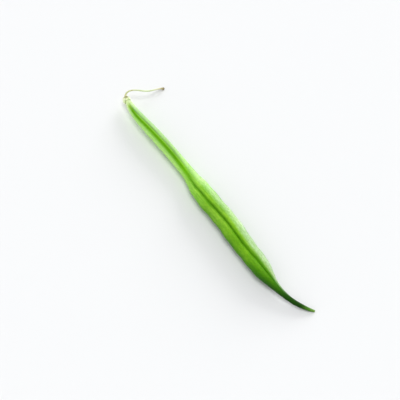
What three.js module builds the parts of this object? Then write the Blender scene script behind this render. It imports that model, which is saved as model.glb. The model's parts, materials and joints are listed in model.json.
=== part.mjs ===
// Green bean: one whole snap bean as picked, lying on its side of the seam.
// Millimetres, +Z up. The pod lies along X: stem end at -X, beak at +X.
// Origin: centre of the bounding box in X and Y, resting level in Z.
import * as THREE from 'three';

// ---- driving dimensions (mm, degrees) ----
// Centreline stations of the pod, stem end first:
// x, y, height of the centre, half width across the seam plane,
// half height from seam to seam, roll of the upper seam from straight up
// (minus leans it towards -Y).
const STATIONS = [
  [-65.63, -4.33, 3.89, 1.05, 1.14, -30.0],
  [-64.33, -4.72, 3.93, 1.24, 1.36, -31.6],
  [-62.93, -5.04, 3.97, 1.64, 1.86, -33.6],
  [-61.33, -5.34, 4.00, 1.82, 2.12, -34.6],
  [-58.23, -5.68, 4.10, 2.04, 2.42, -33.4],
  [-53.78, -5.90, 4.20, 2.36, 2.82, -29.2],
  [-45.92, -5.76, 4.18, 2.68, 3.20, -24.6],
  [-37.20, -5.55, 3.96, 2.78, 3.33, -22.4],
  [-29.90, -5.55, 3.70, 2.81, 3.36, -21.6],
  [-23.14, -5.70, 3.46, 2.83, 3.33, -23.4],
  [-15.54, -6.12, 3.38, 3.10, 3.46, -27.6],
  [-11.44, -6.60, 3.58, 3.58, 3.80, -29.4],
  [-7.23, -7.08, 3.93, 4.19, 4.19, -28.2],
  [-3.66, -7.40, 4.13, 4.47, 4.38, -25.4],
  [0.03, -7.60, 4.15, 4.53, 4.40, -23.2],
  [4.33, -7.72, 4.11, 4.50, 4.36, -21.4],
  [8.65, -7.82, 4.11, 4.50, 4.36, -19.2],
  [13.31, -8.04, 4.18, 4.58, 4.44, -17.2],
  [17.94, -8.46, 4.22, 4.66, 4.48, -16.0],
  [22.30, -8.94, 4.13, 4.57, 4.38, -15.6],
  [27.35, -9.40, 3.97, 4.40, 4.23, -15.2],
  [32.32, -9.72, 3.90, 4.29, 4.15, -13.2],
  [37.03, -10.02, 3.87, 4.19, 4.12, -8.6],
  [40.36, -10.31, 3.75, 3.92, 3.93, -5.2],
  [44.60, -10.68, 3.50, 3.18, 3.31, 0.5],
  [48.18, -10.84, 3.33, 2.34, 2.52, 4.0],
  [52.33, -10.68, 3.07, 1.62, 1.81, 3.8],
  [57.34, -9.86, 2.47, 1.18, 1.36, -1.0],
  [62.16, -8.16, 1.68, 1.01, 1.16, -6.5],
  [65.48, -6.36, 1.05, 0.81, 0.89, -10.6],
  [67.29, -5.18, 0.70, 0.62, 0.65, -12.6],
  [68.37, -4.36, 0.52, 0.47, 0.47, -13.2],
];
// Depth of the channel or crease along the upper seam, and its half width, by arc length.
const SEAM = [
  // s, depth, half width
  [0, 0.00, 1.30],
  [4, 0.16, 1.30],
  [14, 0.40, 1.40],
  [30, 0.46, 1.40],
  [44, 0.46, 1.30],
  [52, 0.52, 1.10],
  [58, 0.60, 0.85],
  [66, 0.66, 0.75],
  [90, 0.66, 0.75],
  [104, 0.56, 0.75],
  [110, 0.36, 0.70],
  [116, 0.14, 0.60],
  [121, 0.00, 0.50],
  [137, 0.00, 0.50],
];
const SEEDS = [57.6, 66.4, 75.4, 84.6, 93.2, 100.6, 107.0]; // arc length of each swelling
const SEED_SWELL = 0.30;      // how far a valve swells over a seed
const SEED_LENGTH = 2.9;      // spread of a swelling along the pod
const SEED_ANGLE = 72;        // angle of a swelling from the upper seam
const RIB_HEIGHT = 0.16;      // low rib along the lower seam
const RIB_ANGLE = 12;
const RINGS = 84;             // cross-sections along the pod
const ANGLES = [0, 8, 17, 29, 43, 58, 73, 88, 103, 118, 132, 145, 156, 168, 180];

const CALYX_SIDES = 20;
// Calyx profile: position along the pod's axis at its stem end (plus is towards the beak), radius.
const CALYX_OUTER = [[-1.72, 0.56], [-1.54, 0.86], [-1.12, 1.06], [-0.62, 1.26], [-0.12, 1.46], [0.42, 1.64], [0.95, 1.72]];
const CALYX_INNER = [[0.93, 1.54], [0.40, 1.46], [-0.12, 1.30], [-0.45, 0.92]];
const CALYX_FLOOR = -0.62;    // bottom of the cup
const CALYX_TEETH = 5, CALYX_TOOTH = 0.35;

// Stalk: centreline points and radius.
const STALK = [
  [-67.59, -3.74, 3.85, 0.42],
  [-68.13, -3.30, 4.08, 0.38],
  [-68.41, -2.50, 4.48, 0.36],
  [-68.23, -1.34, 4.98, 0.35],
  [-67.45, -0.06, 5.46, 0.34],
  [-66.28, 1.30, 5.78, 0.34],
  [-64.95, 2.66, 5.80, 0.34],
  [-63.76, 4.10, 5.48, 0.34],
  [-62.91, 5.76, 4.86, 0.34],
  [-62.53, 7.66, 3.96, 0.35],
  [-62.45, 9.66, 2.92, 0.36],
  [-62.33, 11.58, 1.90, 0.38],
  [-62.07, 12.96, 1.22, 0.42],
  [-61.75, 13.66, 0.92, 0.56],
  [-61.43, 14.16, 0.76, 0.52],
];
const STALK_SIDES = 8, STALK_STEPS = 40;

// ---- interpolation along knots (cubic, with slopes from neighbouring knots) ----
function slopes(t, v) {
  const n = t.length, m = new Array(n);
  for (let i = 0; i < n; i++) {
    if (i === 0) m[i] = (v[1] - v[0]) / (t[1] - t[0]);
    else if (i === n - 1) m[i] = (v[n - 1] - v[n - 2]) / (t[n - 1] - t[n - 2]);
    else {
      const h0 = t[i] - t[i - 1], h1 = t[i + 1] - t[i];
      m[i] = ((v[i + 1] - v[i]) / h1 * h0 + (v[i] - v[i - 1]) / h0 * h1) / (h0 + h1);
    }
  }
  return m;
}
function curve(t, v) {
  const m = slopes(t, v), n = t.length;
  return (s) => {
    if (s <= t[0]) return v[0] + m[0] * (s - t[0]);
    if (s >= t[n - 1]) return v[n - 1] + m[n - 1] * (s - t[n - 1]);
    let i = 0;
    while (i < n - 2 && s > t[i + 1]) i++;
    const h = t[i + 1] - t[i], u = (s - t[i]) / h, u2 = u * u, u3 = u2 * u;
    return (2 * u3 - 3 * u2 + 1) * v[i] + (u3 - 2 * u2 + u) * h * m[i]
      + (-2 * u3 + 3 * u2) * v[i + 1] + (u3 - u2) * h * m[i + 1];
  };
}
function lengths(rows) {
  const t = [0];
  for (let i = 1; i < rows.length; i++) {
    const a = rows[i - 1], b = rows[i];
    t.push(t[i - 1] + Math.hypot(b[0] - a[0], b[1] - a[1], b[2] - a[2]));
  }
  return t;
}
const smooth = (a, b, x) => { const u = Math.min(1, Math.max(0, (x - a) / (b - a))); return u * u * (3 - 2 * u); };

const podT = lengths(STATIONS);
const podLength = podT[podT.length - 1];
const pod = [0, 1, 2, 3, 4, 5].map((k) => curve(podT, STATIONS.map((r) => r[k])));
const seamDepth = curve(SEAM.map((r) => r[0]), SEAM.map((r) => r[1]));
const seamWidth = curve(SEAM.map((r) => r[0]), SEAM.map((r) => r[2]));

function podFrame(s) {
  const c = new THREE.Vector3(pod[0](s), pod[1](s), pod[2](s));
  const e = 0.4;
  const t = new THREE.Vector3(pod[0](s + e) - pod[0](s - e), pod[1](s + e) - pod[1](s - e), pod[2](s + e) - pod[2](s - e)).normalize();
  const up = new THREE.Vector3(0, 0, 1).addScaledVector(t, -t.z).normalize();
  const lat = new THREE.Vector3().crossVectors(up, t);
  const r = pod[5](s) * Math.PI / 180;
  const q = up.clone().multiplyScalar(Math.cos(r)).addScaledVector(lat, Math.sin(r));
  const p = up.clone().multiplyScalar(-Math.sin(r)).addScaledVector(lat, Math.cos(r));
  return { c, t, q, p };
}
// One point of the pod's skin: arc length and angle from the upper seam.
function podPoint(s, deg, scale) {
  const { c, q, p } = podFrame(s);
  const th = deg * Math.PI / 180;
  let a = pod[3](s), b = pod[4](s);
  let f = 1;
  const wrapped = Math.abs(((deg + 180) % 360 + 360) % 360 - 180);
  let out = 0;
  for (const c0 of SEEDS) {
    out += SEED_SWELL * Math.exp(-(((s - c0) / SEED_LENGTH) ** 2)) * Math.exp(-(((wrapped - SEED_ANGLE) / 34) ** 2));
  }
  const arc = wrapped * Math.PI / 180 * b;
  out -= Math.max(0, seamDepth(s)) * Math.exp(-((arc / seamWidth(s)) ** 2));
  out += RIB_HEIGHT * smooth(2, 12, s) * (1 - smooth(112, 124, s)) * Math.exp(-(((180 - wrapped) / RIB_ANGLE) ** 2));
  const y = b * Math.cos(th) * f, x = a * Math.sin(th) * f;
  const n = new THREE.Vector2(x / (a * a), y / (b * b)).normalize();
  const v = c.clone().addScaledVector(q, (y + n.y * out) * scale).addScaledVector(p, (x + n.x * out) * scale);
  return v;
}

// ---- closed tube from rings of points, with a point at each end ----
function closedTube(rings, first, last) {
  const pos = [], idx = [], n = rings[0].length;
  const push = (v) => { pos.push(v.x, v.y, v.z); return pos.length / 3 - 1; };
  const at = rings.map((r) => r.map(push));
  const a = push(first), b = push(last);
  for (let i = 0; i < at.length - 1; i++) for (let j = 0; j < n; j++) {
    const k = (j + 1) % n;
    idx.push(at[i][j], at[i][k], at[i + 1][k], at[i][j], at[i + 1][k], at[i + 1][j]);
  }
  for (let j = 0; j < n; j++) {
    const k = (j + 1) % n;
    idx.push(a, at[0][k], at[0][j]);
    idx.push(b, at[at.length - 1][j], at[at.length - 1][k]);
  }
  const g = new THREE.BufferGeometry();
  g.setAttribute('position', new THREE.Float32BufferAttribute(pos, 3));
  g.setIndex(idx);
  return g;
}
function volume(g) {
  const p = g.attributes.position, ix = g.index.array;
  let v = 0;
  const A = new THREE.Vector3(), B = new THREE.Vector3(), C = new THREE.Vector3();
  for (let i = 0; i < ix.length; i += 3) {
    A.fromBufferAttribute(p, ix[i]); B.fromBufferAttribute(p, ix[i + 1]); C.fromBufferAttribute(p, ix[i + 2]);
    v += A.dot(B.cross(C)) / 6;
  }
  return v;
}
function outward(g) {
  if (volume(g) < 0) {
    const ix = g.index.array;
    for (let i = 0; i < ix.length; i += 3) { const t = ix[i + 1]; ix[i + 1] = ix[i + 2]; ix[i + 2] = t; }
  }
  g.computeVertexNormals();
  return g;
}

// ---- pod ----
const allAngles = [...ANGLES, ...ANGLES.slice(1, -1).reverse().map((d) => 360 - d)];
const ringAt = [];
for (let i = 0; i < RINGS; i++) {
  const u = i / (RINGS - 1);
  ringAt.push(podLength * u);
}
const podRings = [];
const endCap = [[-0.10, 0.80]];
for (const [ds, k] of endCap) podRings.push(allAngles.map((d) => podPoint(0, d, k).addScaledVector(podFrame(0).t, ds - 0.08)));
for (const s of ringAt) {
  podRings.push(allAngles.map((d) => {
    const v = podPoint(s, d, 1);
    if (v.z < 0) v.z = 0; // pressed flat where it rests
    return v;
  }));
}
const tip = podFrame(podLength);
podRings.push(allAngles.map((d) => podPoint(podLength, d, 0.78).addScaledVector(tip.t, 0.18)));
const podFirst = podFrame(0).c.clone().addScaledVector(podFrame(0).t, -0.26);
const podLast = tip.c.clone().addScaledVector(tip.t, 0.32);
const podGeometry = outward(closedTube(podRings, podFirst, podLast));

// ---- calyx: a small dried cup round the pod's stem end ----
const root = podFrame(0);
const axis = root.t.clone();
function calyxRing(s, r, tooth) {
  const ring = [];
  for (let j = 0; j < CALYX_SIDES; j++) {
    const f = 2 * Math.PI * j / CALYX_SIDES;
    const ds = tooth * CALYX_TOOTH * Math.cos(CALYX_TEETH * f);
    ring.push(root.c.clone().addScaledVector(axis, s + ds)
      .addScaledVector(root.q, r * 1.05 * Math.cos(f)).addScaledVector(root.p, r * Math.sin(f)));
  }
  return ring;
}
const calyxRings = [];
CALYX_OUTER.forEach(([s, r], i) => calyxRings.push(calyxRing(s, r, smooth(3, 6, i))));
CALYX_INNER.forEach(([s, r], i) => calyxRings.push(calyxRing(s, r, 1 - smooth(0, 2, i))));
const calyxGeometry = outward(closedTube(calyxRings,
  root.c.clone().addScaledVector(axis, CALYX_OUTER[0][0] - 0.04),
  root.c.clone().addScaledVector(axis, CALYX_FLOOR)));

// ---- stalk ----
const stT = lengths(STALK);
const st = [0, 1, 2, 3].map((k) => curve(stT, STALK.map((r) => r[k])));
const stLen = stT[stT.length - 1];
const stRings = [];
let side = null, prevT = null;
for (let i = 0; i <= STALK_STEPS; i++) {
  const s = stLen * i / STALK_STEPS, e = 0.12;
  const c = new THREE.Vector3(st[0](s), st[1](s), st[2](s));
  const t = new THREE.Vector3(st[0](s + e) - st[0](s - e), st[1](s + e) - st[1](s - e), st[2](s + e) - st[2](s - e)).normalize();
  if (!side) side = new THREE.Vector3(0, 0, 1).cross(t).normalize();
  side = side.addScaledVector(t, -side.dot(t)).normalize().clone();
  const other = new THREE.Vector3().crossVectors(t, side);
  const r = st[3](s);
  const ring = [];
  for (let j = 0; j < STALK_SIDES; j++) {
    const f = 2 * Math.PI * j / STALK_SIDES;
    ring.push(c.clone().addScaledVector(side, r * Math.cos(f)).addScaledVector(other, r * Math.sin(f)));
  }
  stRings.push(ring);
  prevT = t;
}
const stFirst = new THREE.Vector3(st[0](0), st[1](0), st[2](0));
const stLast = new THREE.Vector3(st[0](stLen), st[1](stLen), st[2](stLen)).addScaledVector(prevT, 0.22);
const stalkGeometry = outward(closedTube(stRings, stFirst, stLast));

// ---- origin: centre of the bounding box in X and Y, lowest point at z = 0 ----
const box = new THREE.Box3();
for (const g of [podGeometry, calyxGeometry, stalkGeometry]) { g.computeBoundingBox(); box.union(g.boundingBox); }
const mid = box.getCenter(new THREE.Vector3());
for (const g of [podGeometry, calyxGeometry, stalkGeometry]) g.translate(-mid.x, -mid.y, -box.min.z);

function piece(name, geometry, color, roughness) {
  const m = new THREE.Mesh(geometry, new THREE.MeshStandardMaterial({ name, color, roughness, metalness: 0 }));
  m.name = name;
  return m;
}
const group = new THREE.Group();
group.name = 'green_bean';
group.add(piece('pod', podGeometry, 0x79ac34, 0.42));
group.add(piece('calyx', calyxGeometry, 0xd6dcae, 0.7));
group.add(piece('stalk', stalkGeometry, 0xc8d9a0, 0.6));
export default group;
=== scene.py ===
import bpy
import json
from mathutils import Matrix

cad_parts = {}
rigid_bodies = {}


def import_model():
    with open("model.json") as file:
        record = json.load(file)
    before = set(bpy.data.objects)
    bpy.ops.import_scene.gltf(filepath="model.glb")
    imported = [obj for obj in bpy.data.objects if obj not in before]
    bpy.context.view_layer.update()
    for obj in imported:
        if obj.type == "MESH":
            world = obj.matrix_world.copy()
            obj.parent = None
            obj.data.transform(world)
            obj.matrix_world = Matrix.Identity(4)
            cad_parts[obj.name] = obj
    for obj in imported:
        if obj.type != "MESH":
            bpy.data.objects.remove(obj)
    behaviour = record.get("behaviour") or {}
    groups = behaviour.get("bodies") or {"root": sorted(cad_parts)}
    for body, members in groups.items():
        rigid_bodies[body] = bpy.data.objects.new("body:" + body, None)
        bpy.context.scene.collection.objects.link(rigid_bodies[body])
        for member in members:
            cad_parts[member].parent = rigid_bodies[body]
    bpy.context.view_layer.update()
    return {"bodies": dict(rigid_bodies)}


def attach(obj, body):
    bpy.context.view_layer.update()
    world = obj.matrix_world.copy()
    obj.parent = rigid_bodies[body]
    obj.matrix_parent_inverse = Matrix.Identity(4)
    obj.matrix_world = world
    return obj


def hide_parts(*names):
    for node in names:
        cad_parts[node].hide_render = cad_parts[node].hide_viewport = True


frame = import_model()

import json
import math

import bpy
import numpy as np
from mathutils import Matrix, Vector

MM = 0.001
scene = bpy.context.scene

# ------------------------------------------------------------------ shape of the bean, in millimetres
# x, y, height of the centre, half width, half height, roll of the upper seam
STATIONS = [
    [-65.63, -4.33, 3.89, 1.05, 1.14, -30.0],
    [-64.33, -4.72, 3.93, 1.24, 1.36, -31.6],
    [-62.93, -5.04, 3.97, 1.64, 1.86, -33.6],
    [-61.33, -5.34, 4.00, 1.82, 2.12, -34.6],
    [-58.23, -5.68, 4.10, 2.04, 2.42, -33.4],
    [-53.78, -5.90, 4.20, 2.36, 2.82, -29.2],
    [-45.92, -5.76, 4.18, 2.68, 3.20, -24.6],
    [-37.20, -5.55, 3.96, 2.78, 3.33, -22.4],
    [-29.90, -5.55, 3.70, 2.81, 3.36, -21.6],
    [-23.14, -5.70, 3.46, 2.83, 3.33, -23.4],
    [-15.54, -6.12, 3.38, 3.10, 3.46, -27.6],
    [-11.44, -6.60, 3.58, 3.58, 3.80, -29.4],
    [-7.23, -7.08, 3.93, 4.19, 4.19, -28.2],
    [-3.66, -7.40, 4.13, 4.47, 4.38, -25.4],
    [0.03, -7.60, 4.15, 4.53, 4.40, -23.2],
    [4.33, -7.72, 4.11, 4.50, 4.36, -21.4],
    [8.65, -7.82, 4.11, 4.50, 4.36, -19.2],
    [13.31, -8.04, 4.18, 4.58, 4.44, -17.2],
    [17.94, -8.46, 4.22, 4.66, 4.48, -16.0],
    [22.30, -8.94, 4.13, 4.57, 4.38, -15.6],
    [27.35, -9.40, 3.97, 4.40, 4.23, -15.2],
    [32.32, -9.72, 3.90, 4.29, 4.15, -13.2],
    [37.03, -10.02, 3.87, 4.19, 4.12, -8.6],
    [40.36, -10.31, 3.75, 3.92, 3.93, -5.2],
    [44.60, -10.68, 3.50, 3.18, 3.31, 0.5],
    [48.18, -10.84, 3.33, 2.34, 2.52, 4.0],
    [52.33, -10.68, 3.07, 1.62, 1.81, 3.8],
    [57.34, -9.86, 2.47, 1.18, 1.36, -1.0],
    [62.16, -8.16, 1.68, 1.01, 1.16, -6.5],
    [65.48, -6.36, 1.05, 0.81, 0.89, -10.6],
    [67.29, -5.18, 0.70, 0.62, 0.65, -12.6],
    [68.37, -4.36, 0.52, 0.47, 0.47, -13.2],
]
# arc length, depth and half width of the channel along the upper seam
SEAM = [
    [0, 0.00, 1.30], [4, 0.16, 1.30], [14, 0.40, 1.40], [30, 0.46, 1.40], [44, 0.46, 1.30],
    [52, 0.52, 1.10], [58, 0.60, 0.85], [66, 0.66, 0.75], [90, 0.66, 0.75], [104, 0.56, 0.75],
    [110, 0.36, 0.70], [116, 0.14, 0.60], [121, 0.00, 0.50], [137, 0.00, 0.50],
]
SEEDS = [57.6, 66.4, 75.4, 84.6, 93.2, 100.6, 107.0]
STALK = [
    [-67.59, -3.74, 3.85, 0.42],
    [-68.13, -3.30, 4.08, 0.38],
    [-68.41, -2.50, 4.48, 0.36],
    [-68.23, -1.34, 4.98, 0.35],
    [-67.45, -0.06, 5.46, 0.34],
    [-66.28, 1.30, 5.78, 0.34],
    [-64.95, 2.66, 5.80, 0.34],
    [-63.76, 4.10, 5.48, 0.34],
    [-62.91, 5.76, 4.86, 0.34],
    [-62.53, 7.66, 3.96, 0.35],
    [-62.45, 9.66, 2.92, 0.36],
    [-62.33, 11.58, 1.90, 0.38],
    [-62.07, 12.96, 1.22, 0.42],
    [-61.75, 13.66, 0.92, 0.56],
    [-61.43, 14.16, 0.76, 0.52],
]


def curve(t, v):
    """Smooth interpolation of v at knots t."""
    t = np.asarray(t, float)
    v = np.asarray(v, float)
    h = np.diff(t)
    d = np.diff(v) / h
    m = np.empty_like(v)
    m[0], m[-1] = d[0], d[-1]
    m[1:-1] = (d[1:] * h[:-1] + d[:-1] * h[1:]) / (h[:-1] + h[1:])

    def f(s):
        s = np.asarray(s, float)
        i = np.clip(np.searchsorted(t, s, side="left") - 1, 0, len(t) - 2)
        k = t[i + 1] - t[i]
        u = (s - t[i]) / k
        u2, u3 = u * u, u * u * u
        r = (2 * u3 - 3 * u2 + 1) * v[i] + (u3 - 2 * u2 + u) * k * m[i] + (-2 * u3 + 3 * u2) * v[i + 1] + (u3 - u2) * k * m[i + 1]
        r = np.where(s <= t[0], v[0] + m[0] * (s - t[0]), r)
        return np.where(s >= t[-1], v[-1] + m[-1] * (s - t[-1]), r)

    return f


def ease(a, b, x):
    u = np.clip((x - a) / (b - a), 0, 1)
    return u * u * (3 - 2 * u)


def unit(v):
    return v / np.linalg.norm(v, axis=-1, keepdims=True)


class Waves:
    """Smooth seeded noise: a sum of plane waves, about -1 to 1."""

    def __init__(self, seed, wavelength, stretch=(1, 1, 1), count=28):
        rng = np.random.RandomState(seed)
        d = unit(rng.normal(size=(count, 3)))
        k = 2 * math.pi / wavelength * rng.uniform(0.6, 1.5, size=(count, 1))
        self.k = d * k / np.asarray(stretch, float)
        self.p = rng.uniform(0, 2 * math.pi, count)
        self.n = math.sqrt(2.0 / count) * 0.6

    def __call__(self, p):
        out = np.zeros(p.shape[:-1])
        for k, ph in zip(self.k, self.p):
            out += np.sin(p @ k + ph)
        return out * self.n


st = np.array(STATIONS)
POD_T = np.r_[0, np.cumsum(np.linalg.norm(np.diff(st[:, :3], axis=0), axis=1))]
POD_L = float(POD_T[-1])
pod_c = [curve(POD_T, st[:, k]) for k in range(6)]
sm = np.array(SEAM, float)
seam_depth = curve(sm[:, 0], sm[:, 1])
seam_width = curve(sm[:, 0], sm[:, 2])


def pod_frame(s):
    c = np.stack([pod_c[k](s) for k in range(3)], -1)
    e = 0.4
    t = unit(np.stack([pod_c[k](s + e) - pod_c[k](s - e) for k in range(3)], -1))
    z = np.zeros_like(t)
    z[..., 2] = 1
    u = unit(z - t[..., 2:3] * t)
    lat = np.cross(u, t)
    r = np.radians(pod_c[5](s))[..., None]
    q = u * np.cos(r) + lat * np.sin(r)
    p = -u * np.sin(r) + lat * np.cos(r)
    return c, t, q, p


# the part's own box is centred on the frame; the tables above already are, to within this
shift = np.array([0.0, 0.0, 0.0])

relief_lump = Waves(11, 9.0, (1.6, 1, 1))
relief_ripple = Waves(12, 2.6, (2.2, 1, 1))
relief_fibre = Waves(13, 0.9, (9.0, 1, 1), 40)
relief_grain = Waves(14, 0.75, (1.3, 1, 1), 40)


def pod_surface(s, deg, scale=1.0):
    """Points of the skin, with its fine relief, and the coordinates its colours are laid out in."""
    c, t, q, p = pod_frame(s)
    th = np.radians(deg)
    a, b = pod_c[3](s), pod_c[4](s)
    w = np.abs((deg + 180) % 360 - 180)
    arc = np.radians(w) * b
    out = np.zeros(np.broadcast(s, deg).shape)
    for c0 in SEEDS:
        out += 0.30 * np.exp(-(((s - c0) / 2.9) ** 2)) * np.exp(-(((w - 72) / 34) ** 2))
    depth = np.maximum(0, seam_depth(s))
    out -= depth * np.exp(-((arc / seam_width(s)) ** 2))
    # straightened coordinates: along, across and up, in mm
    flat = np.stack([s + 0 * th, 4.4 * np.sin(th) + 0 * s, 4.4 * np.cos(th) + 0 * s], -1)
    # the line of the seam itself: a narrow crease between two low cords
    body = ease(50, 60, s) * (1 - ease(108, 118, s))
    neck = ease(3, 12, s) * (1 - ease(50, 60, s))
    wob = 0.10 * relief_ripple(flat * np.array([1, 0, 0]) + 3.0)
    side = np.where((deg % 360) > 180, -1.0, 1.0)
    x = arc * side - wob
    out -= (0.16 * body + 0.04 * neck) * np.exp(-((x / 0.22) ** 2))
    out += (0.045 * body + 0.03 * neck) * (np.exp(-(((np.abs(x) - 0.52) / 0.24) ** 2)))
    # rib along the lower seam, with its own fine line
    rib = ease(2, 12, s) * (1 - ease(112, 124, s))
    out += 0.16 * rib * np.exp(-(((180 - w) / 12) ** 2))
    out -= 0.10 * rib * np.exp(-(((180 - w) / 3.2) ** 2))
    # flesh: soft lumps, ripples, fibres and a fine grain
    thick = ease(0.6, 3.0, a)
    out += 0.055 * thick * relief_lump(flat)
    out += 0.020 * thick * relief_ripple(flat)
    out += (0.006 + 0.006 * thick) * relief_fibre(flat)
    out += (0.004 + 0.006 * thick) * relief_grain(flat)
    # the beak is a little shrivelled towards its tip
    dry = ease(117, 131, s)
    out += 0.050 * dry * np.sin(np.radians(w) * 7.0 + 0.6 * np.sin(s * 0.9)) * (0.7 + 0.3 * np.sin(s * 1.7))
    yy, xx = b * np.cos(th), a * np.sin(th)
    n = unit(np.stack([xx / (a * a), yy / (b * b)], -1))
    pt = c + q * ((yy + n[..., 1] * out) * scale)[..., None] + p * ((xx + n[..., 0] * out) * scale)[..., None]
    pt[..., 2] = np.maximum(pt[..., 2], 0)
    return pt, flat, arc, w


def spread(n, weight, lo, hi):
    """n values from lo to hi, packed closer where the weight is higher."""
    x = np.linspace(lo, hi, 4000)
    cum = np.r_[0, np.cumsum((weight(x)[1:] + weight(x)[:-1]) / 2)]
    return np.interp(np.linspace(0, cum[-1], n), cum, x)


# ------------------------------------------------------------------ mesh building
def tube_mesh(name, rings, first, last, u, v, data, blocks=1):
    """A closed tube from rings[i, j] with a point at each end. u and v are the map's coordinates, data the attributes by vertex."""
    ni, nj = rings.shape[:2]
    co = np.concatenate([rings.reshape(-1, 3), first[None], last[None]]) * MM
    i = np.arange(ni - 1)[:, None]
    j = np.arange(nj)[None]
    k = (j + 1) % nj
    quads = np.stack([i * nj + j, i * nj + k, (i + 1) * nj + k, (i + 1) * nj + j], -1).reshape(-1, 4)
    a, b = ni * nj, ni * nj + 1
    j1 = np.arange(nj)
    k1 = (j1 + 1) % nj
    cap0 = np.stack([np.full(nj, a), k1, j1], -1)
    cap1 = np.stack([np.full(nj, b), (ni - 1) * nj + j1, (ni - 1) * nj + k1], -1)
    # faces outward
    mid = rings[ni // 2].mean(0)
    f = quads[(ni // 2) * nj]
    p0, p1, p2 = co[f[0]] / MM, co[f[1]] / MM, co[f[2]] / MM
    if np.dot(np.cross(p1 - p0, p2 - p0), p0 - mid) < 0:
        quads, cap0, cap1 = quads[:, ::-1], cap0[:, ::-1], cap1[:, ::-1]
    loops = np.concatenate([quads.ravel(), cap0.ravel(), cap1.ravel()])
    sizes = np.r_[np.full(len(quads), 4), np.full(2 * nj, 3)]
    starts = np.r_[0, np.cumsum(sizes)[:-1]]
    me = bpy.data.meshes.new(name)
    me.vertices.add(len(co))
    me.vertices.foreach_set("co", co.ravel())
    me.loops.add(len(loops))
    me.loops.foreach_set("vertex_index", loops.astype(np.int32))
    me.polygons.add(len(sizes))
    me.polygons.foreach_set("loop_start", starts.astype(np.int32))
    me.polygons.foreach_set("use_smooth", np.ones(len(sizes), bool))
    me.update(calc_edges=True)
    me.validate()
    for key, val in data.items():
        val = np.asarray(val, float)
        if val.ndim == 3:
            full = np.concatenate([val.reshape(-1, 3), val[0].mean(0)[None], val[-1].mean(0)[None]])
            at = me.attributes.new(key, "FLOAT_VECTOR", "POINT")
            at.data.foreach_set("vector", full.ravel())
        else:
            full = np.r_[val.ravel(), val[0].mean(), val[-1].mean()]
            at = me.attributes.new(key, "FLOAT", "POINT")
            at.data.foreach_set("value", full)
    # map: the length is cut in blocks laid side by side, each with a margin
    uv = me.uv_layers.new(name="OFBake")
    li = np.empty(len(me.loops), np.int32)
    me.loops.foreach_get("vertex_index", li)
    ls = np.empty(len(me.polygons), np.int32)
    lt = np.empty(len(me.polygons), np.int32)
    me.polygons.foreach_get("loop_start", ls)
    me.polygons.foreach_get("loop_total", lt)
    face = np.repeat(np.arange(len(ls)), lt)
    vi = np.minimum(li, ni * nj - 1)
    row, col = vi // nj, (vi % nj).astype(float)
    row[li == a] = 0
    row[li == b] = ni - 1
    fmin = np.full(len(ls), 1e9)
    np.minimum.at(fmin, face, row)
    cols_lo = np.full(len(ls), 1e9)
    cols_hi = np.full(len(ls), -1.0)
    cap = (li == a) | (li == b)
    np.minimum.at(cols_lo, face[~cap], col[~cap])
    np.maximum.at(cols_hi, face[~cap], col[~cap])
    wraps = (cols_hi - cols_lo) > nj / 2
    vv = np.r_[v, 1.0]
    cc = col.copy()
    sel = wraps[face] & (col < nj / 2)
    vcoord = np.interp(cc, np.arange(nj + 1), vv)
    vcoord[sel] = np.interp(cc[sel] + nj, np.arange(2 * nj + 1), np.r_[v, v + 1.0, 2.0])
    midcol = (cols_lo + cols_hi) / 2
    midcol[wraps] = nj - 0.5
    vcoord[cap] = np.interp(midcol[face[cap]], np.arange(nj + 1), vv)
    ucoord = u[row.astype(int)] + np.where(li == a, -0.002, 0) + np.where(li == b, 0.002, 0)
    ufirst = u[fmin.astype(int)][face]
    blk = np.clip(np.floor(ufirst * blocks), 0, blocks - 1)
    along = (ucoord - blk / blocks) * blocks
    rows = math.ceil(math.sqrt(blocks))
    bx, by = blk % rows, blk // rows
    m = 0.03
    U = (bx + m + (1 - 2 * m) * np.clip(along, -0.02, 1.02)) / rows
    V = (by + m + (1 - 2 * m) * vcoord) / math.ceil(blocks / rows)
    uv.data.foreach_set("uv", np.stack([U, V], -1).ravel())
    ob = bpy.data.objects.new(name, me)
    scene.collection.objects.link(ob)
    return ob


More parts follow.
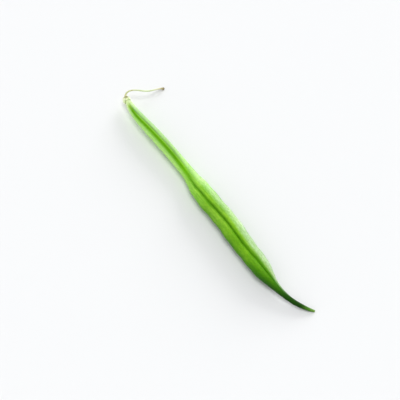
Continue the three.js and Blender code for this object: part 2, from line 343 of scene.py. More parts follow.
# ------------------------------------------------------------------ material building
class Tree:
    def __init__(self, name):
        self.m = bpy.data.materials.new(name)
        self.m.use_nodes = True
        self.t = self.m.node_tree
        self.t.nodes.clear()
        self.out = self.t.nodes.new("ShaderNodeOutputMaterial")
        self.bsdf = self.t.nodes.new("ShaderNodeBsdfPrincipled")
        self.t.links.new(self.bsdf.outputs[0], self.out.inputs[0])

    def put(self, socket, value):
        if isinstance(value, bpy.types.NodeSocket):
            self.t.links.new(value, socket)
        elif value is not None:
            socket.default_value = value

    def attr(self, name, kind="Fac"):
        n = self.t.nodes.new("ShaderNodeAttribute")
        n.attribute_name = name
        return n.outputs[kind]

    def axis(self, v, which):
        n = self.t.nodes.new("ShaderNodeSeparateXYZ")
        self.put(n.inputs[0], v)
        return n.outputs[which]

    def near(self, v, point):
        """Distance from a point, in the units of v."""
        n = self.t.nodes.new("ShaderNodeVectorMath")
        n.operation = "DISTANCE"
        self.put(n.inputs[0], v)
        n.inputs[1].default_value = point
        return n.outputs["Value"]

    def joined(self, x, y, z):
        n = self.t.nodes.new("ShaderNodeCombineXYZ")
        for socket, value in zip(n.inputs, (x, y, z)):
            self.put(socket, value)
        return n.outputs[0]

    def math(self, op, a, b=None, c=None, clamp=False):
        n = self.t.nodes.new("ShaderNodeMath")
        n.operation = op
        n.use_clamp = clamp
        self.put(n.inputs[0], a)
        self.put(n.inputs[1], b)
        self.put(n.inputs[2], c)
        return n.outputs[0]

    def scale(self, v, by):
        n = self.t.nodes.new("ShaderNodeVectorMath")
        n.operation = "MULTIPLY"
        self.put(n.inputs[0], v)
        n.inputs[1].default_value = by
        return n.outputs[0]

    def step(self, x, lo, hi, a=0.0, b=1.0):
        n = self.t.nodes.new("ShaderNodeMapRange")
        n.interpolation_type = "SMOOTHSTEP"
        self.put(n.inputs["Value"], x)
        n.inputs["From Min"].default_value = lo
        n.inputs["From Max"].default_value = hi
        n.inputs["To Min"].default_value = a
        n.inputs["To Max"].default_value = b
        return n.outputs[0]

    def noise(self, v, size, detail=2.0, rough=0.5, distort=0.0):
        n = self.t.nodes.new("ShaderNodeTexNoise")
        self.put(n.inputs["Vector"], v)
        n.inputs["Scale"].default_value = size
        n.inputs["Detail"].default_value = detail
        n.inputs["Roughness"].default_value = rough
        n.inputs["Distortion"].default_value = distort
        return n.outputs["Fac"]

    def voronoi(self, v, size, feature="F1", rand=1.0):
        n = self.t.nodes.new("ShaderNodeTexVoronoi")
        n.feature = feature
        self.put(n.inputs["Vector"], v)
        n.inputs["Scale"].default_value = size
        n.inputs["Randomness"].default_value = rand
        return n.outputs["Distance"]

    def mix(self, fac, a, b, mode="MIX"):
        n = self.t.nodes.new("ShaderNodeMix")
        n.data_type = "RGBA"
        n.blend_type = mode
        self.put(n.inputs["Factor"], fac)
        self.put(n.inputs["A"], a)
        self.put(n.inputs["B"], b)
        return n.outputs["Result"]

    def tint(self, fac, a, by):
        """The colour a, taken towards itself times by."""
        return self.mix(fac, a, self.mix(1.0, a, (*by, 1.0), "MULTIPLY"))

    def ramp(self, x, stops):
        n = self.t.nodes.new("ShaderNodeValToRGB")
        e = n.color_ramp.elements
        while len(e) < len(stops):
            e.new(0.5)
        for el, (pos, col) in zip(e, stops):
            el.position = pos
            el.color = col
        self.put(n.inputs[0], x)
        return n.outputs[0]

    def bump(self, height, distance, normal=None, strength=1.0):
        n = self.t.nodes.new("ShaderNodeBump")
        n.inputs["Strength"].default_value = strength
        n.inputs["Distance"].default_value = distance
        self.put(n.inputs["Height"], height)
        self.put(n.inputs["Normal"], normal)
        return n.outputs[0]


def rgb(r, g, b):
    """A colour given as it looks on screen, 0 to 255, as linear values."""
    f = lambda c: c / 12.92 if c <= 0.04045 else ((c + 0.055) / 1.055) ** 2.4
    return (f(r / 255), f(g / 255), f(b / 255), 1.0)


def skin_material():
    k = Tree("pod_skin")
    flat = k.attr("flat", "Vector")
    along = k.attr("along")      # 0 at the stem end, 1 at the beak's tip
    arc = k.attr("arc")          # mm from the upper seam
    wrap = k.attr("wrap")        # 0 at the upper seam, 1 at the lower
    seed = k.attr("seed")        # 1 over a seed
    # the valves, lengthwise; the bright neck stops are partly the neck's own paler green and partly a painted
    # reflection of bright surroundings on its flanks
    base = k.ramp(along, [
        (0.000, rgb(226, 242, 188)),
        (0.032, rgb(212, 242, 166)),
        (0.060, rgb(188, 240, 134)),
        (0.330, rgb(178, 232, 116)),
        (0.440, rgb(150, 210, 70)),
        (0.500, rgb(128, 188, 42)),
        (0.580, rgb(134, 194, 44)),
        (0.650, rgb(110, 170, 24)),
        (0.710, rgb(110, 170, 24)),
        (0.790, rgb(82, 146, 8)),
        (0.845, rgb(56, 118, 0)),
        (0.900, rgb(28, 76, 0)),
        (0.955, rgb(22, 64, 0)),
        (0.980, rgb(80, 132, 36)),
        (1.000, rgb(128, 168, 78)),
    ])
    # a deeper green along the seam: a broad channel on the neck, a narrow band on the body
    mid = k.ramp(along, [
        (0.000, rgb(224, 238, 184)),
        (0.024, rgb(206, 232, 150)),
        (0.036, rgb(148, 192, 64)),
        (0.058, rgb(98, 167, 0)),
        (0.295, rgb(93, 160, 0)),
        (0.350, rgb(112, 184, 2)),
        (0.420, rgb(94, 160, 0)),
        (0.770, rgb(80, 144, 2)),
        (0.845, rgb(66, 128, 2)),
        (0.900, rgb(30, 78, 0)),
        (0.955, rgb(24, 68, 0)),
        (0.980, rgb(74, 126, 32)),
        (1.000, rgb(120, 160, 72)),
    ])
    neck = k.step(along, 0.34, 0.46, 1.0, 0.0)
    across = k.axis(flat, 1)
    # painted shade: the deeper green channel is drawn wider on one side, over the channel wall that faces away from the
    # key light
    painted_shade_lean = k.step(across, -0.4, 0.8, 0.84, 0.61)
    wide = k.step(k.math("MULTIPLY", wrap, painted_shade_lean), 0.02, 0.22, 1.0, 0.0)
    narrow = k.math("MULTIPLY", k.step(arc, 0.22, 1.50, 1.0, 0.0), 0.78)
    channel = k.math("ADD", k.math("MULTIPLY", wide, neck), k.math("MULTIPLY", narrow, k.math("SUBTRACT", 1.0, neck)))
    base = k.mix(channel, base, mid)
    # painted shade and painted light on the underside: on the body the flanks darken towards the lower seam, partly
    # their own deeper green and partly painted shade; on the neck they are painted paler, standing in for light thrown
    # up onto them
    painted_underside = k.step(k.math("SUBTRACT", wrap, k.math("MULTIPLY", neck, 0.22)), 0.12, 0.42)
    base = k.mix(k.math("MULTIPLY", painted_underside, 0.80), base, k.ramp(along, [
        (0.000, rgb(228, 240, 196)),
        (0.026, rgb(218, 242, 172)),
        (0.052, rgb(198, 250, 140)),
        (0.330, rgb(184, 246, 116)),
        (0.445, rgb(140, 212, 64)),
        (0.510, rgb(82, 146, 10)),
        (0.580, rgb(82, 146, 10)),
        (0.660, rgb(62, 126, 0)),
        (0.800, rgb(44, 102, 0)),
        (0.900, rgb(26, 68, 0)),
        (0.955, rgb(22, 62, 0)),
        (1.000, rgb(96, 138, 50)),
    ]))
    # painted highlight: a pale band along one valve's shoulder, standing in for the key light glancing off it
    reach = k.math("ADD", across, k.step(along, 0.52, 0.80, 0.0, 0.9))
    painted_highlight = k.step(reach, 1.5, 4.1)
    painted_highlight = k.math("MULTIPLY", painted_highlight, k.step(along, 0.845, 0.925, 1.0, 0.0))
    painted_highlight = k.math("MULTIPLY", painted_highlight, k.step(along, 0.30, 0.48, 0.35, 1.0))
    painted_highlight = k.math("MULTIPLY", painted_highlight, k.step(wrap, 0.37, 0.56, 1.0, 0.14))
    base = k.mix(k.math("MULTIPLY", painted_highlight, k.step(along, 0.50, 0.80, 0.64, 0.68)), base, rgb(181, 210, 155))
    # painted shade: the valve facing the key light is darkened outside the painted highlight, to hold back its lighting
    painted_shade_side = k.math("MULTIPLY", k.step(across, 1.4, 2.1), k.math("SUBTRACT", 1.0, painted_highlight))
    base = k.tint(k.math("MULTIPLY", painted_shade_side, k.step(along, 0.36, 0.45, 1.0, 0.30)), base, (0.80, 0.80, 0.86))
    # painted shade: the key-lit side of the neck is darkened a little more
    painted_shade_shoulder = k.math("MULTIPLY", k.step(across, 1.4, 2.1), k.step(along, 0.24, 0.34, 1.0, 0.0))
    base = k.tint(k.math("MULTIPLY", painted_shade_shoulder, k.step(along, 0.03, 0.07)), base, (0.81, 0.80, 0.92))
    # painted light: the channel wall that faces away from the key light is brightened
    painted_light_wall = k.math("MULTIPLY", k.step(across, 0.95, 1.35), k.step(across, 1.7, 2.4, 1.0, 0.0))
    painted_light_wall = k.math("MULTIPLY", painted_light_wall, k.math("MULTIPLY", k.step(along, 0.05, 0.10), k.step(along, 0.33, 0.40, 1.0, 0.0)))
    base = k.tint(painted_light_wall, base, (1.38, 1.30, 1.16))
    # painted shade: the lower flank on the lit side and along the lower seam is darkened, holding back the light it
    # takes from the key and the floor
    painted_shade_flank = k.math("MULTIPLY", k.step(wrap, 0.44, 0.62), k.step(along, 0.46, 0.62, 1.0, 0.0))
    below = k.math("MAXIMUM", k.step(across, 0.2, 1.2), k.step(wrap, 0.66, 0.84))
    painted_shade_flank = k.math("MULTIPLY", painted_shade_flank, k.math("MULTIPLY", below, k.step(along, 0.04, 0.12)))
    base = k.tint(painted_shade_flank, base, (0.62, 0.70, 0.62))
    # painted highlight: white and darker speckle within the painted band
    highlight_speckle = k.noise(k.scale(flat, (1.15, 1.9, 1.9)), 1.0, 3.0, 0.7)
    base = k.mix(k.math("MULTIPLY", painted_highlight, k.step(highlight_speckle, 0.46, 0.70, 0.0, 0.24)), base, rgb(218, 238, 200))
    base = k.tint(k.math("MULTIPLY", painted_highlight, k.step(highlight_speckle, 0.32, 0.50, 0.38, 0.0)), base, (0.64, 0.80, 0.54))
    # large soft patches
    patch = k.noise(k.scale(flat, (0.05, 0.16, 0.16)), 1.0, 3.0, 0.55)
    calm = k.step(along, 0.32, 0.46, 0.40, 1.0)
    base = k.tint(k.math("MULTIPLY", k.step(patch, 0.42, 0.66, 0.0, 0.42), calm), base, (0.52, 0.72, 0.35))
    patch2 = k.noise(k.scale(flat, (0.11, 0.3, 0.3)), 1.0, 2.0, 0.5)
    base = k.tint(k.step(patch2, 0.48, 0.70, 0.0, 0.20), base, (1.36, 1.18, 1.36))
    # seeds show as slightly paler swellings
    base = k.tint(k.math("MULTIPLY", seed, 0.24), base, (1.35, 1.18, 1.50))
    # fibres that run along
    fibre = k.noise(k.scale(flat, (0.09, 1.5, 1.5)), 1.0, 4.0, 0.6)
    base = k.tint(k.step(fibre, 0.44, 0.70, 0.0, 0.36), base, (1.55, 1.28, 2.20))
    base = k.tint(k.step(fibre, 0.30, 0.46, 0.40, 0.0), base, (0.42, 0.62, 0.30))
    # broad soft streaks on the body that follow the seam, different on the two valves
    valve = k.step(across, -0.3, 0.3, 0.0, 7.0)
    streak = k.noise(k.joined(k.math("MULTIPLY", k.axis(flat, 0), 0.085), k.math("MULTIPLY", arc, 0.62), valve), 1.0, 3.0, 0.6)
    broad = k.math("MULTIPLY", k.step(along, 0.34, 0.46), k.step(along, 0.86, 0.92, 1.0, 0.0))
    base = k.tint(k.math("MULTIPLY", k.step(streak, 0.50, 0.66, 0.0, 0.50), broad), base, (1.30, 1.17, 1.45))
    base = k.tint(k.math("MULTIPLY", k.step(streak, 0.34, 0.50, 0.50, 0.0), broad), base, (0.64, 0.78, 0.46))
    # towards the beak one valve has painted light and shade beside the crease: a painted highlight on a low fold and
    # painted shade in the hollow beyond it
    near = k.math("MULTIPLY", k.step(across, -0.5, 0.1, 1.0, 0.0), k.math("MULTIPLY", k.step(along, 0.73, 0.79), k.step(along, 0.84, 0.89, 1.0, 0.0)))
    painted_fold_highlight = k.math("MULTIPLY", near, k.math("MULTIPLY", k.step(arc, 0.35, 0.75), k.step(arc, 1.2, 1.9, 1.0, 0.0)))
    base = k.tint(k.math("MULTIPLY", painted_fold_highlight, 0.85), base, (1.34, 1.14, 2.80))
    painted_fold_shade = k.math("MULTIPLY", near, k.math("MULTIPLY", k.step(arc, 1.5, 2.4), k.step(arc, 4.0, 5.4, 1.0, 0.0)))
    base = k.tint(k.math("MULTIPLY", painted_fold_shade, 0.70), base, (0.66, 0.78, 0.20))
    # slanting fibres of the wall, faint
    slant = k.math("ADD", k.axis(flat, 0), k.math("MULTIPLY", arc, 0.9))
    weft = k.noise(k.joined(k.math("MULTIPLY", slant, 1.25), k.math("MULTIPLY", arc, 0.10), 0.0), 1.0, 2.0, 0.6)
    weave = k.math("MULTIPLY", k.step(arc, 0.9, 2.2), k.step(along, 0.86, 0.93, 1.0, 0.0))
    base = k.tint(k.math("MULTIPLY", k.step(weft, 0.52, 0.70, 0.0, 0.26), weave), base, (1.35, 1.20, 1.60))
    base = k.tint(k.math("MULTIPLY", k.step(weft, 0.32, 0.48, 0.24, 0.0), weave), base, (0.66, 0.78, 0.55))
    # a fine mottling
    mottle = k.noise(k.scale(flat, (0.8, 1.5, 1.5)), 1.0, 3.0, 0.62)
    base = k.tint(k.step(mottle, 0.50, 0.68, 0.0, 0.40), base, (1.35, 1.20, 1.70))
    base = k.tint(k.math("MULTIPLY", k.step(mottle, 0.34, 0.50, 0.40, 0.0), calm), base, (0.62, 0.74, 0.55))
    # brighter, yellower patches on the two lips of the crease, partly their own colour and partly painted light on the
    # slope that the groove shades
    painted_light_lips = k.math("MULTIPLY", k.step(arc, 0.45, 1.0), k.step(arc, 1.7, 2.7, 1.0, 0.0))
    painted_light_lips = k.math("MULTIPLY", painted_light_lips, k.math("MULTIPLY", k.step(along, 0.36, 0.44), k.step(along, 0.80, 0.88, 1.0, 0.0)))
    glow = k.noise(k.scale(flat, (0.17, 0.25, 0.25)), 1.0, 2.0, 0.55)
    painted_light_lips = k.math("MULTIPLY", painted_light_lips, k.step(across, -0.2, 0.2, 0.25, 1.0))
    dull = k.math("MULTIPLY", k.step(along, 0.495, 0.53), k.step(along, 0.575, 0.63, 1.0, 0.0))
    painted_light_lips = k.math("MULTIPLY", painted_light_lips, k.math("SUBTRACT", 1.0, k.math("MULTIPLY", dull, 0.5)))
    base = k.tint(k.math("MULTIPLY", dull, k.math("SUBTRACT", 1.0, painted_highlight)), base, (0.90, 0.90, 0.97))
    # painted highlight: brighter still on the stem side of the body
    base = k.tint(k.math("MULTIPLY", painted_highlight, k.step(along, 0.60, 0.66, 1.0, 0.0)), base, (1.12, 1.10, 1.03))
    base = k.tint(k.math("MULTIPLY", painted_light_lips, k.step(glow, 0.38, 0.62, 0.22, 0.66)), base, (1.30, 1.15, 0.76))
    # the crease itself: painted shade darkens the colour along it, on top of the shade its groove casts
    body = k.math("MULTIPLY", k.step(along, 0.38, 0.47), k.step(along, 0.80, 0.87, 1.0, 0.0))
    painted_crease_shade = k.math("MULTIPLY", k.step(arc, 0.06, 0.46, 1.0, 0.0), body)
    waver = k.noise(k.scale(flat, (0.16, 0.0, 0.0)), 1.0, 3.0, 0.6)
    base = k.mix(k.math("MULTIPLY", painted_crease_shade, k.step(waver, 0.36, 0.62, 0.22, 0.58)), base, rgb(66, 122, 0))
    # the lower seam
    low = k.math("MULTIPLY", k.step(wrap, 0.975, 0.992), k.step(along, 0.86, 0.92, 1.0, 0.0))
    base = k.mix(k.math("MULTIPLY", low, 0.5), base, rgb(74, 126, 16))
    # fine pale dots and a few darker flecks
    dots = k.voronoi(k.scale(flat, (1.1, 1.9, 1.9)), 1.0)
    base = k.tint(k.step(dots, 0.05, 0.17, 0.42, 0.0), base, (2.0, 1.45, 3.4))
    flecks = k.voronoi(k.scale(flat, (0.20, 0.34, 0.34)), 1.0)
    base = k.tint(k.step(flecks, 0.02, 0.06, 0.40, 0.0), base, (0.45, 0.45, 0.5))
    k.put(k.bsdf.inputs["Base Color"], base)
    rough = k.noise(k.scale(flat, (0.4, 0.9, 0.9)), 1.0, 3.0, 0.6)
    rough = k.step(rough, 0.25, 0.75, 0.36, 0.48)
    k.put(k.bsdf.inputs["Roughness"], rough)
    # relief too fine for the mesh: down, pores and slanting fibres
    fine = k.noise(k.scale(flat, (3.2, 5.5, 5.5)), 1.0, 3.0, 0.65)
    long = k.noise(k.scale(flat, (0.35, 5.0, 5.0)), 1.0, 3.0, 0.6)
    nrm = k.bump(long, 0.00010)
    nrm = k.bump(fine, 0.00009, nrm)
    nrm = k.bump(k.math("MULTIPLY", weft, weave), 0.00012, nrm)
    nrm = k.bump(k.step(dots, 0.05, 0.20, 1.0, 0.0), 0.00002, nrm)
    k.put(k.bsdf.inputs["Normal"], nrm)
    b = k.bsdf.inputs
    b["IOR"].default_value = 1.45
    b["Specular IOR Level"].default_value = 0.09
    b["Subsurface Weight"].default_value = 0.10
    b["Subsurface Radius"].default_value = (0.5, 1.0, 0.25)
    b["Subsurface Scale"].default_value = 0.0008
    return k.m


def calyx_material():
    k = Tree("calyx_dry")
    flat = k.attr("flat", "Vector")
    along = k.attr("along")
    base = k.ramp(along, [
        (0.00, rgb(206, 202, 146)),
        (0.22, rgb(230, 232, 186)),
        (0.60, rgb(238, 246, 206)),
        (0.90, rgb(230, 244, 194)),
        (1.00, rgb(220, 238, 176)),
    ])
    veins = k.noise(k.scale(flat, (0.5, 3.2, 3.2)), 1.0, 3.0, 0.6)
    base = k.mix(k.step(veins, 0.42, 0.68, 0.0, 0.40), base, rgb(190, 208, 130))
    threads = k.noise(k.scale(flat, (0.7, 8.0, 8.0)), 1.0, 3.0, 0.65)
    base = k.tint(k.step(threads, 0.50, 0.66, 0.0, 0.55), base, (0.74, 0.72, 0.58))
    brown = k.noise(k.scale(flat, (0.9, 1.3, 1.3)), 1.0, 4.0, 0.65)
    base = k.mix(k.step(brown, 0.58, 0.74, 0.0, 0.45), base, rgb(172, 152, 96))
    # the teeth dry to a thin brown edge
    edge = k.math("ADD", along, k.math("MULTIPLY", k.math("SUBTRACT", brown, 0.5), 0.5))
    base = k.mix(k.step(edge, 0.95, 1.06, 0.0, 0.45), base, rgb(184, 172, 116))
    # a dark olive spot beside the stalk
    spot = k.near(k.scale(flat, (0.85, 1.0, 1.0)), (-0.53, 1.18, 0.74))
    spot = k.math("ADD", spot, k.math("MULTIPLY", k.math("SUBTRACT", brown, 0.5), 1.6))
    spot = k.math("ADD", spot, k.math("MULTIPLY", k.math("SUBTRACT", threads, 0.5), 0.9))
    base = k.mix(k.step(spot, 0.50, 1.15, 0.85, 0.0), base, rgb(126, 128, 72))
    base = k.mix(k.step(spot, 0.10, 0.62, 0.70, 0.0), base, rgb(92, 90, 46))
    k.put(k.bsdf.inputs["Base Color"], base)
    k.put(k.bsdf.inputs["Roughness"], k.step(brown, 0.3, 0.7, 0.62, 0.80))
    fine = k.noise(k.scale(flat, (2.0, 7.0, 7.0)), 1.0, 3.0, 0.6)
    nrm = k.bump(threads, 0.00014)
    k.put(k.bsdf.inputs["Normal"], k.bump(fine, 0.00010, nrm))
    k.bsdf.inputs["Specular IOR Level"].default_value = 0.3
    k.bsdf.inputs["Subsurface Weight"].default_value = 0.1
    k.bsdf.inputs["Subsurface Radius"].default_value = (1.0, 0.9, 0.5)
    k.bsdf.inputs["Subsurface Scale"].default_value = 0.0006
    k.bsdf.inputs["Sheen Weight"].default_value = 0.10
    return k.m


def stalk_material():
    k = Tree("stalk_fibre")
    flat = k.attr("flat", "Vector")
    along = k.attr("along")
    base = k.ramp(along, [
        (0.00, rgb(212, 210, 152)),
        (0.10, rgb(206, 210, 152)),
        (0.30, rgb(208, 216, 172)),
        (0.50, rgb(212, 226, 174)),
        (0.74, rgb(216, 222, 180)),
        (0.87, rgb(208, 204, 158)),
        (0.94, rgb(170, 154, 112)),
        (1.00, rgb(120, 104, 72)),
    ])
    veins = k.noise(k.scale(flat, (0.25, 3.0, 3.0)), 1.0, 3.0, 0.6)
    base = k.mix(k.step(veins, 0.42, 0.68, 0.0, 0.45), base, rgb(170, 186, 124))
    brown = k.noise(k.scale(flat, (0.35, 0.8, 0.8)), 1.0, 3.0, 0.6)
    base = k.mix(k.step(brown, 0.60, 0.74, 0.0, 0.45), base, rgb(166, 136, 80))
    k.put(k.bsdf.inputs["Base Color"], base)
    k.put(k.bsdf.inputs["Roughness"], k.step(veins, 0.3, 0.7, 0.50, 0.70))
    fine = k.noise(k.scale(flat, (1.0, 8.0, 8.0)), 1.0, 3.0, 0.6)
    k.put(k.bsdf.inputs["Normal"], k.bump(fine, 0.00010))
    k.bsdf.inputs["Subsurface Weight"].default_value = 0.1
    k.bsdf.inputs["Subsurface Radius"].default_value = (0.8, 1.0, 0.4)
    k.bsdf.inputs["Subsurface Scale"].default_value = 0.0006
    k.bsdf.inputs["Sheen Weight"].default_value = 0.15
    return k.m


# ------------------------------------------------------------------ pod
def make_pod():
    ns, nj = 870, 112
    theta = spread(nj + 1, lambda x: 1 + 4.0 * np.exp(-((np.minimum(x, 360 - x) / 12) ** 2)) + 1.2 * np.exp(-(((x - 180) / 12) ** 2)), 0, 360)[:-1]
    s = spread(ns, lambda x: 1 + 1.6 * np.exp(-((x / 4) ** 2)) + 1.6 * np.exp(-(((x - POD_L) / 5) ** 2)), 0, POD_L)
    S, T = np.meshgrid(s, theta, indexing="ij")
    pts, flat, arc, w = pod_surface(S, T)
    c0, t0, _, _ = pod_frame(np.array(0.0))
    cl, tl, _, _ = pod_frame(np.array(POD_L))
    rings = [pts]
    heads, tails = [], []
    for ds, k in ((-0.16, 0.72), (-0.08, 0.90)):
        heads.append(pod_surface(np.zeros_like(theta), theta, k)[0] + t0 * ds)
    for ds, k in ((0.10, 0.93), (0.20, 0.78), (0.28, 0.52)):
        tails.append(pod_surface(np.full_like(theta, POD_L), theta, k)[0] + tl * ds)
    rings = np.concatenate([np.stack(heads), pts, np.stack(tails)])
    rep = lambda a: np.concatenate([np.repeat(a[:1], len(heads), 0), a, np.repeat(a[-1:], len(tails), 0)])
    seed = np.zeros_like(S)
    for q in SEEDS:
        seed += np.exp(-(((S - q) / 3.0) ** 2)) * np.exp(-(((w - 72) / 34) ** 2))
    # the coloured channel starts a little to one side of the shallow groove at the stem end
    turn = 16 * (1 - ease(2, 13, S))
    w_c = np.abs((T - turn + 180) % 360 - 180)
    data = {"flat": rep(flat), "along": rep(S / POD_L), "arc": rep(np.radians(w_c) * pod_c[4](S)), "wrap": rep(w_c / 180), "seed": rep(seed)}
    u = np.r_[np.zeros(len(heads)), s / POD_L, np.ones(len(tails))]
    ob = tube_mesh("pod_skin_mesh", rings, c0 - t0 * 0.20, cl + tl * 0.32, u, theta / 360, data, blocks=4)
    ob.data.materials.append(skin_material())
    return ob


# ------------------------------------------------------------------ calyx
def make_calyx():
    c0, t0, q0, p0 = pod_frame(np.array(0.0))
    nj = 120
    f = np.arange(nj) / nj * 2 * math.pi
    rag = Waves(31, 1.6)
    crinkle = Waves(32, 1.1)
    around = np.stack([np.zeros(nj), np.cos(f) * 1.5, np.sin(f) * 1.5], -1)
    # five teeth, of uneven length
    tooth = np.zeros(nj)
    for i, (ln, wide) in enumerate(((0.85, 0.56), (0.55, 0.56), (0.95, 0.56), (0.80, 0.56), (1.50, 0.80))):
        d = np.abs((f - 2 * math.pi * (i + 0.15) / 5 + math.pi) % (2 * math.pi) - math.pi)
        tooth = np.maximum(tooth, ln * np.clip(1 - d / wide, 0, 1) ** 0.8)
    pod_r = lambda s: (pod_c[3](s) + pod_c[4](s)) / 2
    outer = []
    for x in np.linspace(0, 1, 34):
        lip = 0.62 + tooth * 1.25 + 0.12 * rag(around)
        s = -1.70 + x * (lip + 1.70)
        base = np.interp(x, [0, 0.05, 0.12, 0.26, 0.40, 0.55, 0.70, 0.85, 1.0], [0.52, 0.80, 1.02, 1.24, 1.42, 1.55, 1.58, 1.54, 1.44])
        hug = pod_r(np.clip(s, 0, 3)) + 0.15
        r = np.where(s > 0.2, np.maximum(base, hug), base) if x > 0.6 else np.full(nj, base)
        r = r + 0.05 * np.clip(tooth, 0, 1) * max(0, x - 0.85) / 0.15
        r = r + (0.045 * np.cos(5 * f - 0.9) + 0.022 * np.cos(15 * f + 2.0 * x)) * min(1, x * 2.5) + 0.05 * rag(around * 1.4 + x * 1.5) * min(1, x * 2)
        r = r + 0.020 * crinkle(around * 2.2 + x * 2.6)
        outer.append((s + 0 * f, np.minimum(r, 1.92)))
    lip_s, lip_r = outer[-1]
    inner = []
    for x in np.linspace(0.04, 1, 12):
        s = lip_s * (1 - x) + (-0.45) * x
        r = np.maximum(np.minimum(lip_r - 0.10, pod_r(np.clip(s, 0, 3)) + 0.03), 0.2) * (1 - 0.25 * ease(0.6, 1.0, x))
        inner.append((s, r))
    rows = outer + inner
    # fuller on the side of the long tooth
    full = 0.58 * np.exp(-(((f - math.radians(300) + math.pi) % (2 * math.pi) - math.pi) / 0.95) ** 2)
    bulge = unit(q0 * 0.5 - p0 * 0.866)[None]
    rings = np.stack([
        c0 + t0 * s[:, None] + q0 * (r * 1.06 * np.cos(f))[:, None] + p0 * (r * np.sin(f))[:, None] + (k * full * (1 - ease(0.5, 2.5, s)))[:, None] * bulge
        for (s, r), k in zip(rows, [1.0] * len(outer) + [0.0] * len(inner))
    ])
    n_out, n = len(outer), len(rows)
    x_al = np.r_[np.linspace(0, 1, n_out), np.linspace(1, 0.6, n - n_out)]
    along = np.repeat(x_al[:, None], nj, 1)
    flat = np.stack([np.stack([s, r * np.cos(f), r * np.sin(f)], -1) for s, r in rows])
    ob = tube_mesh("calyx_cup", rings, c0 - t0 * 1.78, c0 - t0 * 0.50, np.linspace(0, 1, n), np.arange(nj) / nj, {"flat": flat, "along": along})
    ob.data.materials.append(calyx_material())
    return ob


# ------------------------------------------------------------------ stalk
def make_stalk():
    pts = np.array(STALK)
    t = np.r_[0, np.cumsum(np.linalg.norm(np.diff(pts[:, :3], axis=0), axis=1))]
    f = [curve(t, pts[:, k]) for k in range(4)]
    length = float(t[-1])
    n, nj = 260, 28
    s = np.linspace(0, length, n)
    c = np.stack([f[k](s) for k in range(3)], -1)
    # round the bends off a little, but not at the ends
    soft = np.exp(-0.5 * ((s[:, None] - s[None]) / 0.42) ** 2)
    soft = (soft / soft.sum(1, keepdims=True)) @ c
    c = c + (soft - c) * (ease(0.1, 1.0, s) * (1 - ease(length - 1.0, length - 0.1, s)))[:, None]
    tan = unit(np.gradient(c, s, axis=0))
    side = unit(np.cross(np.array([0, 0, 1.0]), tan[0]))
    sides = []
    for tt in tan:
        side = unit(side - tt * np.dot(side, tt))
        sides.append(side)
    sides = np.array(sides)
    other = np.cross(tan, sides)
    a = np.arange(nj) / nj * 2 * math.pi
    flat = np.stack([np.repeat(s[:, None], nj, 1), np.cos(a)[None] * 0.36 + 0 * s[:, None], np.sin(a)[None] * 0.36 + 0 * s[:, None]], -1)
    rough = Waves(41, 0.7, (2.0, 1, 1))
    slow = Waves(42, 4.0)
    r = f[3](s)[:, None] * (1 + 0.08 * np.cos(5 * a[None] + 0.25 * s[:, None]) + 0.05 * rough(flat) + 0.05 * slow(flat))
    r = r * (1 + 0.30 * (1 - ease(0.0, 1.3, s))[:, None])
    end = ease(length - 1.6, length, s)[:, None]
    r = r * (1 + 0.22 * end * rough(flat * 1.3 + 2.0))
    rings = c[:, None] + sides[:, None] * (r * np.cos(a))[..., None] + other[:, None] * (r * np.sin(a))[..., None]
    rings[..., 2] = np.maximum(rings[..., 2], 0.02)
    caps = []
    for ds, k in ((0.08, 0.92), (0.16, 0.72), (0.20, 0.42)):
        caps.append(c[-1] + tan[-1] * ds + (rings[-1] - c[-1]) * k)
    pre = c[0] - tan[0] * 0.45 + (rings[0] - c[0]) * 1.08
    rings = np.concatenate([pre[None], rings, np.stack(caps)])
    rep = lambda v: np.concatenate([v[:1], v, np.repeat(v[-1:], len(caps), 0)])
    along = np.repeat((s / length)[:, None], nj, 1)
    u = np.r_[0, s / length, np.ones(len(caps))]
    ob = tube_mesh("stalk_thread", rings, c[0] - tan[0] * 0.50, c[-1] + tan[-1] * 0.18, u, np.arange(nj) / nj, {"flat": rep(flat), "along": rep(along)}, blocks=4)
    ob.data.materials.append(stalk_material())
    return ob


root = list(frame["bodies"])[0]
for ob, node, slot in ((make_pod(), "pod", "pod_skin"), (make_calyx(), "calyx", "calyx_dry"), (make_stalk(), "stalk", "stalk_fibre")):
    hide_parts(node)
    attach(ob, root)

# ------------------------------------------------------------------ floor, light, camera
TURN = Matrix(((0.61945, -0.78504, 0.0), (0.78504, 0.61945, 0.0), (0.0, 0.0, 1.0)))  # from the picture's right, away and up to the part's frame


def put_floor():
    me = bpy.data.meshes.new("floor")
    h = 3.0
    me.from_pydata([(-h, -h, -0.00002), (h, -h, -0.00002), (h, h, -0.00002), (-h, h, -0.00002)], [], [(0, 1, 2, 3)])
    ob = bpy.data.objects.new("floor", me)
    scene.collection.objects.link(ob)
    m = bpy.data.materials.new("floor_pale")
    m.use_nodes = True
    b = m.node_tree.nodes["Principled BSDF"]
    b.inputs["Base Color"].default_value = (0.76, 0.763, 0.766, 1)
    b.inputs["Roughness"].default_value = 0.85
    b.inputs["Specular IOR Level"].default_value = 0.2
    me.materials.append(m)


def put_light(name, place, width, strength):
    """A soft light from far off, at a direction given to the picture's right, away and up. width is how wide it looks, in degrees."""
    d = bpy.data.lights.new(name, "SUN")
    d.energy = strength
    d.angle = math.radians(width)
    ob = bpy.data.objects.new(name, d)
    p = TURN @ Vector(place)
    ob.location = p
    ob.rotation_euler = (-p).to_track_quat("-Z", "Y").to_euler()
    scene.collection.objects.link(ob)


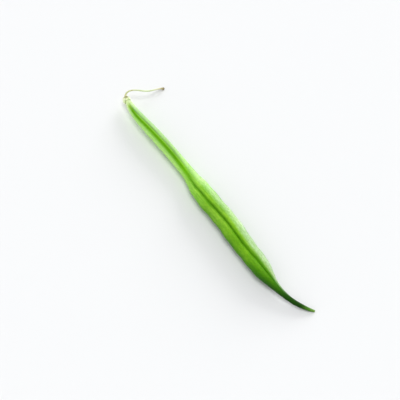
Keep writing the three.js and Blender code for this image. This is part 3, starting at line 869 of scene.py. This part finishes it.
def put_world():
    w = bpy.data.worlds.new("studio")
    scene.world = w
    w.use_nodes = True
    t = w.node_tree
    t.nodes.clear()
    out = t.nodes.new("ShaderNodeOutputWorld")
    bg = t.nodes.new("ShaderNodeBackground")
    co = t.nodes.new("ShaderNodeTexCoord")
    d = TURN @ Vector((0.50, 0.84, 0.16)).normalized()
    dot = t.nodes.new("ShaderNodeVectorMath")
    dot.operation = "DOT_PRODUCT"
    dot.inputs[1].default_value = d
    t.links.new(co.outputs["Generated"], dot.inputs[0])
    mr = t.nodes.new("ShaderNodeMapRange")
    mr.interpolation_type = "SMOOTHSTEP"
    mr.inputs["From Min"].default_value = 0.30
    mr.inputs["From Max"].default_value = 1.0
    mr.inputs["To Min"].default_value = 0.0
    mr.inputs["To Max"].default_value = 0.55
    t.links.new(dot.outputs["Value"], mr.inputs["Value"])
    # paler round the horizon than overhead
    sep = t.nodes.new("ShaderNodeSeparateXYZ")
    t.links.new(co.outputs["Generated"], sep.inputs[0])
    up = t.nodes.new("ShaderNodeMapRange")
    up.interpolation_type = "SMOOTHSTEP"
    up.inputs["From Min"].default_value = 0.02
    up.inputs["From Max"].default_value = 0.55
    up.inputs["To Min"].default_value = 1.0
    up.inputs["To Max"].default_value = 0.42
    t.links.new(sep.outputs["Z"], up.inputs["Value"])
    total = t.nodes.new("ShaderNodeMath")
    total.operation = "ADD"
    t.links.new(mr.outputs[0], total.inputs[0])
    t.links.new(up.outputs[0], total.inputs[1])
    bg.inputs["Color"].default_value = (0.97, 0.985, 1.0, 1)
    t.links.new(total.outputs[0], bg.inputs["Strength"])
    t.links.new(bg.outputs[0], out.inputs[0])


def put_camera():
    cam = bpy.data.cameras.new("camera")
    cam.lens = 100
    cam.sensor_width = 36
    cam.clip_start = 0.01
    cam.clip_end = 20
    ob = bpy.data.objects.new("camera", cam)
    e = math.radians(62.0)
    right = TURN @ Vector((1, 0, 0))
    up = TURN @ Vector((0, math.sin(e), math.cos(e)))
    back = TURN @ Vector((0, -math.cos(e), math.sin(e)))
    m = Matrix((right, up, back)).transposed().to_4x4()
    m.translation = Vector((0.18000, -0.15459, 0.44134))
    ob.matrix_world = m
    scene.collection.objects.link(ob)
    scene.camera = ob


put_floor()
put_light("key", (0.42, 0.72, 0.30), 28, 1.62)
put_light("top", (0.04, 0.02, 0.85), 30, 1.46)
put_light("fill", (-0.75, -0.25, 0.50), 60, 0.42)
put_world()
put_camera()
scene.view_settings.view_transform = "Standard"
scene.view_settings.look = "None"
scene.view_settings.exposure = 0
scene.view_settings.gamma = 1

bpy.context.view_layer.update()
